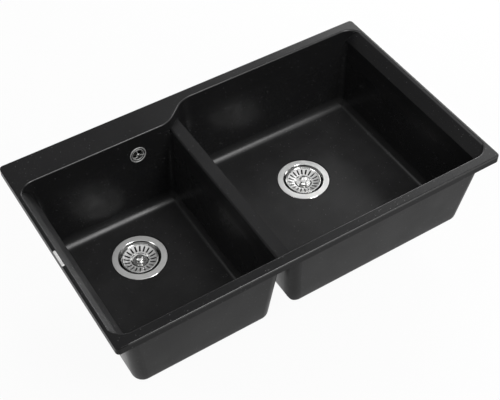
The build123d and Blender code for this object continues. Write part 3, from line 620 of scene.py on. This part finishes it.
@dataclass
class Basin:
    """The one-piece moulding and the bare plate on its left edge."""

    edge_x: float = -0.425
    edge_r: float = 0.0025
    outer_arc: Pair = (158, 90)
    inner_arc: Pair = (90, 28)
    inner_x: float = -0.418
    inner_r: float = 0.003
    deck_z: float = 0.017
    plate_from_y: float = -0.0392
    plate_to_y: float = 0.0008
    plate_thickness: float = 0.00015
    plate_gap: float = 0.00003
    plate_corner: float = 0.0012
    plate_width: float = 0.0088
    plate_rows: tuple[float, ...] = (0.0, 0.0, 0.02, 0.5, 0.98, 1.0, 1.0)

    def build(self) -> None:
        """Give the moulding its composite finish and build the foot of its divider wall."""
        finish = COMPOSITE.material("black_composite")
        dress("sink_basin", finish)
        DividerFoot().build(finish)

    def strip_profile(self, lift: float, steps: int = 10) -> np.ndarray:
        """Return the rim's section from its outer edge over the deck to the opening.

        Both roundings are arcs about their own centres, widened by the lift, with the flat between.

        Args:
            lift: distance above the composite.
            steps: points on each rounding.
        """
        outer = np.radians(np.linspace(*self.outer_arc, steps))
        inner = np.radians(np.linspace(*self.inner_arc, steps))
        outer_r, inner_r = self.edge_r + lift, self.inner_r + lift
        first = np.stack([self.edge_x + self.edge_r + outer_r * np.cos(outer),
                          self.deck_z - self.edge_r + outer_r * np.sin(outer)], axis=-1)
        second = np.stack([self.inner_x - self.inner_r + inner_r * np.cos(inner),
                           self.deck_z - self.inner_r + inner_r * np.sin(inner)], axis=-1)
        return np.concatenate([first, second])

    def edge_plate(self) -> bpy.types.Object:
        """Build the bare silver plate that wraps over the left strip of the deck.

        Its section is a closed loop of the lifted strip profile and a second one close to the
        composite, carried along Y. The ends shorten near the corners by a quarter circle, and the
        first and last row fold to the middle of the plate to close it.
        """
        top = self.strip_profile(self.plate_thickness)
        low = self.strip_profile(self.plate_gap)[::-1]
        section = np.concatenate([top, low])
        along = np.concatenate([np.linspace(0, 1, len(top)), np.linspace(1, 0, len(low))])
        into_corner = np.clip(self.plate_corner - np.minimum(along, 1 - along) * self.plate_width, 0, None)
        cut = self.plate_corner - np.sqrt(np.clip(self.plate_corner ** 2 - into_corner ** 2, 0, None))
        start, end = self.plate_from_y + cut, self.plate_to_y - cut
        rows = []
        for share in self.plate_rows:
            rows.append(np.stack([section[:, 0], start + (end - start) * share, section[:, 1]], axis=-1))
        for index in (0, -1):
            middle = (rows[index][:len(top)] + rows[index][len(top):][::-1]) / 2
            rows[index] = np.concatenate([middle, middle[::-1]])
        vertices, quads = loop_grid(np.array(rows), False)
        finish = BRUSHED.material("edge_plate_steel", (self.edge_x, 0, self.deck_z), (0, 0, 90))
        return make_piece("edge_plate", vertices, quads, finish, "sink")


@dataclass
class DividerFoot:
    """The rounded foot of the large bowl's wall on the divider side.

    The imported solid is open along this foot, where its wide outer rounding meets the narrow inner one.
    This strip closes it: a wider cove on top, the outer rounding below.
    """

    corner: Pair = (-0.036347, -0.183)
    draft: float = 5.3
    cove_r: float = 0.026
    end_r: float = 0.010
    outer_centre: Pair = (-0.00601, -0.15502)
    outer_r: float = 0.03802
    tuck: float = 0.0005
    outer_span: Pair = (231.8, 211.2)
    in_wall: Pair = (-0.0405, -0.160)
    in_floor: Pair = (-0.020, -0.1865)
    start_y: float = -0.2005
    end_y: float = 0.192
    blend: float = 0.0145
    blend_rows: int = 6
    cove_steps: int = 14
    outer_steps: int = 8

    def section(self, cove_r: float, outer_r: float) -> np.ndarray:
        """Return the closed outline (x, z): cove from wall to floor, then back along the outer rounding.

        The cove's centre lies at its radius from the drafted wall and from the floor.

        Args:
            cove_r: radius of the cove.
            outer_r: radius of the outer rounding.
        """
        tilt = radians(self.draft)
        from_wall = cove_r * (1 - sin(tilt)) / cos(tilt)
        centre = np.array([self.corner[0] + from_wall, self.corner[1] + cove_r])
        top = centre + cove_r * self.directions(180 + self.draft, 270, self.cove_steps)
        low = np.array(self.outer_centre) + outer_r * self.directions(*self.outer_span, self.outer_steps)
        return np.concatenate([top, [self.in_floor], low, [self.in_wall]])

    @staticmethod
    def directions(first: float, last: float, count: int) -> np.ndarray:
        """Return unit vectors (x, z) at even steps between two angles in degrees."""
        turn = np.radians(np.linspace(first, last, count))
        return np.stack([np.cos(turn), np.sin(turn)], axis=-1)

    def build(self, material: bpy.types.Material) -> bpy.types.Object:
        """Build the strip; the cove narrows at both ends, which lie inside the composite.

        Args:
            material: finish of the basin.
        """
        near = np.linspace(0.0, self.blend, self.blend_rows)
        places = np.concatenate([self.start_y + near, self.end_y - near[::-1]])
        rows = []
        for y in places:
            inside = min(y - self.start_y, self.end_y - y)
            ease = min(max(inside / self.blend, 0.0), 1.0)
            radius = self.end_r + (self.cove_r - self.end_r) * ease
            outline = self.section(radius, self.outer_r - (self.tuck if inside < 1e-6 else 0.0))
            rows.append(np.stack([outline[:, 0], np.full(len(outline), y), outline[:, 1]], axis=-1))
        caps = [np.broadcast_to(row.mean(axis=0), row.shape) for row in (rows[0], rows[-1])]
        vertices, quads = loop_grid(np.array([caps[0], *rows, caps[1]]), False)
        return make_piece("large_bowl_divider_foot", vertices, quads, material, "sink")


@dataclass
class OutletThread:
    """Pipe thread on the outlet of one waste body."""

    bowl: Bowl
    root_r: float = 0.0237
    crest_r: float = 0.02435
    pitch: float = 0.00231
    low_z: float = -0.2748
    high_z: float = -0.2555
    ridge: tuple[Pair, ...] = ((0.0, -0.46), (1.0, -0.12), (1.0, 0.12), (0.0, 0.46))
    fade: float = 0.6 * pi
    around: int = 40

    def build(self, material: bpy.types.Material) -> bpy.types.Object:
        """Build the ridge: a trapezium carried along a helix, its height easing to nothing at both ends.

        The trapezium's points are shares of the ridge's height and of the pitch.

        Args:
            material: finish of the waste body.
        """
        x0, y0, _ = self.bowl.drain
        turns = (self.high_z - self.low_z) / self.pitch - 1
        count = int(turns * self.around) + 1
        angle = np.linspace(0, 2 * pi * turns, count)[:, None]
        ease = np.clip(np.minimum(angle, angle[-1] - angle) / self.fade, 0, 1)
        radial, axial = np.array(self.ridge).T
        reach = self.root_r + (self.crest_r - self.root_r) * radial * ease
        z = self.low_z + self.pitch * (0.5 + angle / (2 * pi) + axial * ease)
        rows = np.stack([x0 + reach * np.cos(angle), y0 + reach * np.sin(angle), z], axis=-1)
        vertices, quads = loop_grid(rows, False)
        return make_piece(f"{self.bowl.value}_outlet_thread", vertices, quads, material, "sink",
                          smooth=False)


@dataclass
class StrainerWaste:
    """One waste: strainer cup, its gaskets, the moulded body and the clamp."""

    bowl: Bowl
    # radius and reach along Z from the drain of the painted shade in the cup's passage
    passage_r: float = 0.0385
    passage: Pair = (-0.090, -0.012)

    def dress(self) -> None:
        """Give the fixed pieces of the waste their finishes."""
        name, drain = self.bowl.value, self.bowl.drain
        # painted shade down the cup's passage, under the basket
        passage_shade = PassageShade(drain, (0, 0, 0), self.passage_r, self.passage)
        dress(f"{name}_strainer_cup", replace(CUP_STEEL, passage_shade=passage_shade).material(f"{name}_cup_steel", drain))
        rubber = RUBBER.material(f"{name}_rubber")
        for place in ("flange", "waste"):
            dress(f"{name}_{place}_gasket", rubber)
        dress(f"{name}_clamp_screw", PRESSED.material(f"{name}_screw_steel", drain))
        dress(f"{name}_clamp_nut", BRASS.material(f"{name}_brass", drain))

    def build(self) -> None:
        """Dress the moulded body and cut its outlet thread in relief."""
        plastic = WHITE_PLASTIC.material(f"{self.bowl.value}_plastic")
        dress(f"{self.bowl.value}_waste_body", plastic)
        OutletThread(self.bowl).build(plastic)


@dataclass
class StrainerBasket:
    """The lift-out basket of one bowl with its knob, stem and seal."""

    bowl: Bowl

    def dress(self) -> None:
        """Give the basket's pieces their finishes."""
        name, drain = self.bowl.value, self.bowl.drain
        dress(f"{name}_basket", BASKET_STEEL.material(f"{name}_basket_steel", drain))
        dress(f"{name}_basket_knob", POLISHED.material(f"{name}_knob_steel", drain))
        dress(f"{name}_basket_stem", PRESSED.material(f"{name}_stem_steel", drain))
        dress(f"{name}_basket_seal", RUBBER.material(f"{name}_seal_rubber"))


@dataclass
class OverflowHose:
    """Corrugated hose from the overflow elbow to the small bowl's waste."""

    start: Point = (-0.161, 0.200946, -0.0705587)
    corner: Point = (-0.161, 0.200946, -0.217)
    end: Point = (-0.203772, 0.117132, -0.217)
    bend_r: float = 0.060
    cuff_r: float = 0.0123
    crest_r: float = 0.0123
    valley_r: float = 0.0105
    bore_r: float = 0.0097
    collar_r: float = 0.0140
    collar: float = 0.0025
    cuff: float = 0.013
    pitch: float = 0.0034
    fullness: float = 0.6
    wave_rows: int = 8
    bore_rows: int = 60
    around: int = 40

    def route(self, distance: np.ndarray) -> tuple[np.ndarray, np.ndarray, np.ndarray]:
        """Return points, side vectors and up vectors of the route at distances along it.

        Down the wall in a straight line, a quarter circle of the bend radius, then straight to the
        waste. The side vector is constant because the route lies in one plane, and the up vector is
        its cross product with the tangent.

        Args:
            distance: lengths from the start in metres.
        """
        start, corner, end = (np.array(point) for point in (self.start, self.corner, self.end))
        down, out = (corner - start) / dist(start, corner), (end - corner) / dist(corner, end)
        side = np.cross(down, out)
        first = dist(start, corner) - self.bend_r
        arc = self.bend_r * pi / 2
        turn = np.clip((distance - first) / self.bend_r, 0, pi / 2)[:, None]
        before = np.minimum(distance, first)[:, None]
        after = np.clip(distance - first - arc, 0, None)[:, None]
        centre = corner - self.bend_r * down + self.bend_r * out
        on_arc = centre - self.bend_r * np.cos(turn) * out + self.bend_r * np.sin(turn) * down
        straight = start + before * down
        points = np.where(distance[:, None] < first, straight, on_arc + after * out)
        tangent = np.cos(turn) * down + np.sin(turn) * out
        return points, np.broadcast_to(side, points.shape), np.cross(side, tangent)

    def length(self) -> float:
        """Return the length of the route."""
        legs = dist(self.start, self.corner) + dist(self.corner, self.end) - 2 * self.bend_r
        return legs + self.bend_r * pi / 2

    def outside(self, distance: np.ndarray) -> np.ndarray:
        """Return the outer radius: collars, plain cuffs, and rounded waves between them."""
        total = self.length()
        wave = (0.5 - 0.5 * np.cos(2 * pi * (distance - self.cuff) / self.pitch)) ** self.fullness
        ridge = self.valley_r + (self.crest_r - self.valley_r) * wave
        from_end = np.minimum(distance, total - distance)
        plain = np.where(from_end < self.cuff, self.cuff_r, ridge)
        return np.where(from_end < self.collar, self.collar_r, plain)

    def build(self) -> bpy.types.Object:
        """Build the hose as one closed surface that runs out along the outside and back along the bore."""
        total = self.length()
        waves = round((total - 2 * self.cuff) / self.pitch)
        self.pitch = (total - 2 * self.cuff) / waves
        middle = np.linspace(self.cuff, total - self.cuff, waves * self.wave_rows + 1)
        step = 1e-7
        ends = np.array([0.0, self.collar - step, self.collar + step, self.cuff - step])
        out = np.concatenate([ends, middle, total - ends[::-1]])
        back = np.linspace(total, 0, self.bore_rows)
        distance = np.concatenate([out, back])
        radius = np.concatenate([self.outside(out), np.full(len(back), self.bore_r)])
        points, side, up = self.route(distance)
        angle = np.linspace(0, 2 * pi, self.around, endpoint=False)[:, None]
        spoke = side[:, None, :] * np.cos(angle) + up[:, None, :] * np.sin(angle)
        rows = points[:, None, :] + radius[:, None, None] * spoke
        vertices, quads = loop_grid(rows, True)
        piece = make_piece("overflow_corrugated_hose", vertices, quads, HOSE_PLASTIC.material("hose_plastic"),
                           "sink")
        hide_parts("overflow_hose")
        return piece


@dataclass
class Rosette:
    """Cover of the overflow hole: thin outer ring, dark groove, inner ring, three spokes and a hub.

    Its own frame has U along X, V up the drafted wall and W out of the wall into the bowl.
    """

    centre: Point
    draft: float
    spokes: tuple[float, float, float] = (100.0, 220.0, 340.0)
    spoke_width: float = 0.0019
    spoke_height: float = 0.0010
    spoke_fullness: float = 0.6
    spoke_rows: tuple[tuple[float, float, float], ...] = (
        (0.0034, 0.0015, 0.0), (0.0034, 0.0015, 1.0), (0.0095, 0.0012, 1.0), (0.0124, 0.0009, 1.0),
        (0.0140, 0.0006, 0.8), (0.0156, 0.0006, 0.8), (0.0156, 0.0006, 0.0))
    outer_section: tuple[Pair, ...] = (
        (0.0156, 0.00005), (0.0180, 0.00005), (0.0180, 0.0006), (0.0178, 0.0013), (0.0173, 0.0018),
        (0.0167, 0.0019), (0.0161, 0.0016), (0.01565, 0.0009))
    inner_section: tuple[Pair, ...] = (
        (0.0117, -0.0040), (0.0130, -0.0040), (0.0131, 0.0004), (0.0129, 0.0009), (0.0124, 0.0011),
        (0.0119, 0.0009), (0.0117, 0.0004))
    hub_section: tuple[Pair, ...] = (
        (0.0021, 0.0012), (0.0036, 0.0012), (0.0040, 0.0015), (0.0040, 0.0020), (0.0036, 0.0023),
        (0.0021, 0.0023))
    around: int = 72
    spoke_around: int = 12

    def placed(self, local: np.ndarray) -> np.ndarray:
        """Return points of the rosette's own frame at their place in the sink.

        Args:
            local: array whose last axis holds U, V and W.
        """
        tilt = radians(self.draft)
        across = np.array([1.0, 0.0, 0.0])
        up = np.array([0.0, sin(tilt), cos(tilt)])
        out = np.array([0.0, -cos(tilt), sin(tilt)])
        return np.array(self.centre) + local @ np.stack([across, up, out])

    def ring(self, section: Sequence[Pair]) -> tuple[np.ndarray, np.ndarray]:
        """Return a closed outline of radius and W carried once round the W axis."""
        angle = np.linspace(0, 2 * pi, self.around, endpoint=False)[:, None]
        reach, height = np.array(section).T
        rows = np.stack([reach * np.cos(angle), reach * np.sin(angle), height + 0 * angle], axis=-1)
        return loop_grid(self.placed(rows), True)

    def spoke(self, bearing: float) -> tuple[np.ndarray, np.ndarray]:
        """Return one rounded bar from the hub to the outer ring, closed at both ends.

        Each of its rows holds the distance from the axis, the height of its middle and its size.

        Args:
            bearing: angle from U towards V in degrees.
        """
        turn = np.linspace(0, 2 * pi, self.spoke_around, endpoint=False)
        flat, tall = [np.sign(wave) * np.abs(wave) ** self.spoke_fullness
                      for wave in (np.cos(turn), np.sin(turn))]
        reach, middle, size = np.array(self.spoke_rows).T[:, :, None]
        side = size * flat * self.spoke_width / 2
        high = middle + size * tall * self.spoke_height / 2
        angle = radians(bearing)
        u, v = reach * cos(angle) - side * sin(angle), reach * sin(angle) + side * cos(angle)
        return loop_grid(self.placed(np.stack([u, v, high], axis=-1)), False)

    def build(self) -> bpy.types.Object:
        """Build the rosette as one piece of six closed shells and let it stand for the solid."""
        sections = (self.outer_section, self.inner_section, self.hub_section)
        shells = [self.ring(section) for section in sections]
        shells += [self.spoke(bearing) for bearing in self.spokes]
        starts = np.cumsum([0] + [len(vertices) for vertices, _ in shells[:-1]])
        vertices = np.concatenate([vertices for vertices, _ in shells])
        quads = np.concatenate([quads + start for (_, quads), start in zip(shells, starts)])
        finish = ROSETTE_STEEL.material("rosette_cover_steel", self.centre, (self.draft - 90, 0, 0))
        piece = make_piece("overflow_rosette_cover", vertices, quads, finish, "sink")
        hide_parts("overflow_rosette")
        return piece


@dataclass
class Overflow:
    """The overflow: rosette in the bowl, elbow behind it, hose and unions."""

    centre: Point = (-0.161, 0.17515, -0.0293)
    draft: float = 7.2
    # radius and reach of the painted shade inside the elbow's passage
    passage_r: float = 0.0137
    passage: Pair = (-0.0398, 0.0)

    def dress(self) -> None:
        """Give the overflow's solids their finishes."""
        turn = (self.draft - 90, 0, 0)
        dress("overflow_rosette", POLISHED.material("rosette_steel", self.centre, turn))
        dress("overflow_screw", ROSETTE_SCREW.material("overflow_screw_steel", self.centre, turn))
        rubber = RUBBER.material("overflow_rubber")
        for node in ("overflow_gasket", "overflow_upper_seal", "overflow_lower_seal"):
            dress(node, rubber)
        # painted shade inside the elbow, seen through the rosette's groove
        passage_shade = PassageShade(self.centre, turn, self.passage_r, self.passage)
        dress("overflow_elbow", replace(WHITE_PLASTIC, passage_shade=passage_shade).material("elbow_plastic"))
        plastic = WHITE_PLASTIC.material("overflow_plastic")
        for node in ("overflow_upper_nut", "overflow_lower_nut"):
            dress(node, plastic)
        dress("overflow_hose", HOSE_PLASTIC.material("hose_core_plastic"))

    def build(self) -> None:
        """Build the rosette's cover and the corrugated hose."""
        Rosette(self.centre, self.draft).build()
        OverflowHose().build()


@dataclass(frozen=True)
class Softbox:
    """A large soft lamp that looks at the sink.

    The bearing is counted from +Y towards +X, the height above the horizon, both in degrees.
    """

    name: str
    bearing: float
    height: float
    distance: float
    width: float
    depth: float
    radiance: float

    def build(self, target: Point) -> None:
        """Build the lamp. Its power is pi times its area times its radiance.

        Args:
            target: the point that it looks at.
        """
        light = bpy.data.lights.new(self.name, "AREA")
        light.shape = "RECTANGLE"
        light.size, light.size_y = self.width, self.depth
        light.energy = pi * self.width * self.depth * self.radiance
        way = direction(self.bearing, self.height)
        aimed(self.name, light, Vector(target) + self.distance * way, -way)
        LOG.info("lamp %s", self.name)


@dataclass
class Studio:
    """Pale floor, white surroundings, soft lamps and the camera."""

    floor_z: float = -0.2771
    floor_half: float = 6.0
    floor_grey: float = 0.42
    floor_share: float = 0.95
    ambient: float = 0.25
    lamp_target: Point = (0.0, 0.0, -0.05)
    camera_at: Point = (-0.7333, -1.1549, 1.4514)
    camera_bearing: float = 32.35
    camera_dip: float = 48.57
    focal_px: float = 1010.0
    image_px: float = 500.0
    lamps: Sequence[Softbox] = (
        Softbox("key_softbox", 160, 46, 2.6, 1.0, 1.8, 12.0),
        Softbox("right_softbox", 59, 33, 2.8, 0.9, 1.4, 7.4),
        Softbox("back_right_softbox", 50, 27, 2.8, 1.0, 1.4, 5.6),
        Softbox("low_back_softbox", 35, 20, 2.8, 1.0, 1.0, 5.8),
        Softbox("low_right_softbox", 64, 9, 2.8, 1.4, 0.7, 25.0),
        Softbox("left_softbox", -85, 38, 2.6, 1.4, 1.0, 5.0),
    )

    @staticmethod
    def white_to_the_eye(tree: bpy.types.NodeTree) -> Socket:
        """Return 1 for camera, glossy and transmission rays and 0 for the rest."""
        path = tree.nodes.new("ShaderNodeLightPath")
        total = path.outputs["Is Camera Ray"]
        for name in ("Is Glossy Ray", "Is Transmission Ray"):
            more = tree.nodes.new("ShaderNodeMath")
            more.operation = "MAXIMUM"
            tree.links.new(total, more.inputs[0])
            tree.links.new(path.outputs[name], more.inputs[1])
            total = more.outputs[0]
        return total

    @staticmethod
    def mixed(tree: bpy.types.NodeTree, output: bpy.types.Node, *sources: Socket) -> None:
        """Feed an output with the share of the second shader, the first shader and the second."""
        mix = tree.nodes.new("ShaderNodeMixShader")
        for source, socket in zip(sources, mix.inputs):
            tree.links.new(source, socket)
        tree.links.new(mix.outputs[0], output.inputs["Surface"])

    def world(self) -> None:
        """Surround the scene with white that lights it at a plain level."""
        world = bpy.data.worlds.new("studio_white")
        bpy.context.scene.world = world
        world.use_nodes = True
        tree = world.node_tree
        tree.nodes.clear()
        shades = []
        for level in (self.ambient, 1.0):
            shade = tree.nodes.new("ShaderNodeBackground")
            shade.inputs["Color"].default_value = (1, 1, 1, 1)
            shade.inputs["Strength"].default_value = level
            shades.append(shade.outputs[0])
        self.mixed(tree, tree.nodes.new("ShaderNodeOutputWorld"), self.white_to_the_eye(tree), *shades)

    def floor(self) -> None:
        """Lay the pale floor just below the outlets, almost white for the camera."""
        half, z = self.floor_half, self.floor_z
        mesh = bpy.data.meshes.new("studio_floor")
        corners = [(-half, -half, z), (half, -half, z), (half, half, z), (-half, half, z)]
        mesh.from_pydata(corners, [], [(0, 1, 2, 3)])
        floor = linked("studio_floor", mesh)
        sheet = Sheet("floor_white")
        grey = (self.floor_grey, self.floor_grey, self.floor_grey, 1)
        sheet.fix(Base_Color=grey, Roughness=0.9, Specular_IOR_Level=0.0)
        glow = sheet.add("ShaderNodeEmission")
        glow.inputs["Color"].default_value = (1, 1, 1, 1)
        glow.inputs["Strength"].default_value = 1.0
        share = sheet.maths("MULTIPLY", self.white_to_the_eye(sheet.tree), self.floor_share)
        self.mixed(sheet.tree, sheet.output, share, sheet.shader.outputs["BSDF"], glow.outputs[0])
        mesh.materials.append(sheet.material)

    def camera(self) -> None:
        """Put the camera at the photograph's viewing angle."""
        data = bpy.data.cameras.new("studio_camera")
        data.sensor_width = 36.0
        data.lens = self.focal_px / self.image_px * data.sensor_width
        data.clip_start, data.clip_end = 0.05, 50.0
        way = direction(self.camera_bearing, -self.camera_dip)
        bpy.context.scene.camera = aimed("studio_camera", data, Vector(self.camera_at), way)

    def build(self) -> None:
        """Build floor, surroundings, lamps and camera."""
        self.world()
        self.floor()
        for lamp in self.lamps:
            lamp.build(self.lamp_target)
        self.camera()
        bpy.context.scene.view_settings.view_transform = "Standard"


def main() -> None:
    """Dress the solids, build the finer pieces and set up the studio."""
    logging.basicConfig(level=logging.INFO, format="%(message)s")
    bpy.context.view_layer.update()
    basin = Basin()
    basin.build()
    basin.edge_plate()
    for bowl in Bowl:
        waste = StrainerWaste(bowl)
        waste.dress()
        waste.build()
        StrainerBasket(bowl).dress()
    overflow = Overflow()
    overflow.dress()
    overflow.build()
    Studio().build()


if __name__ == "__main__":
    main()
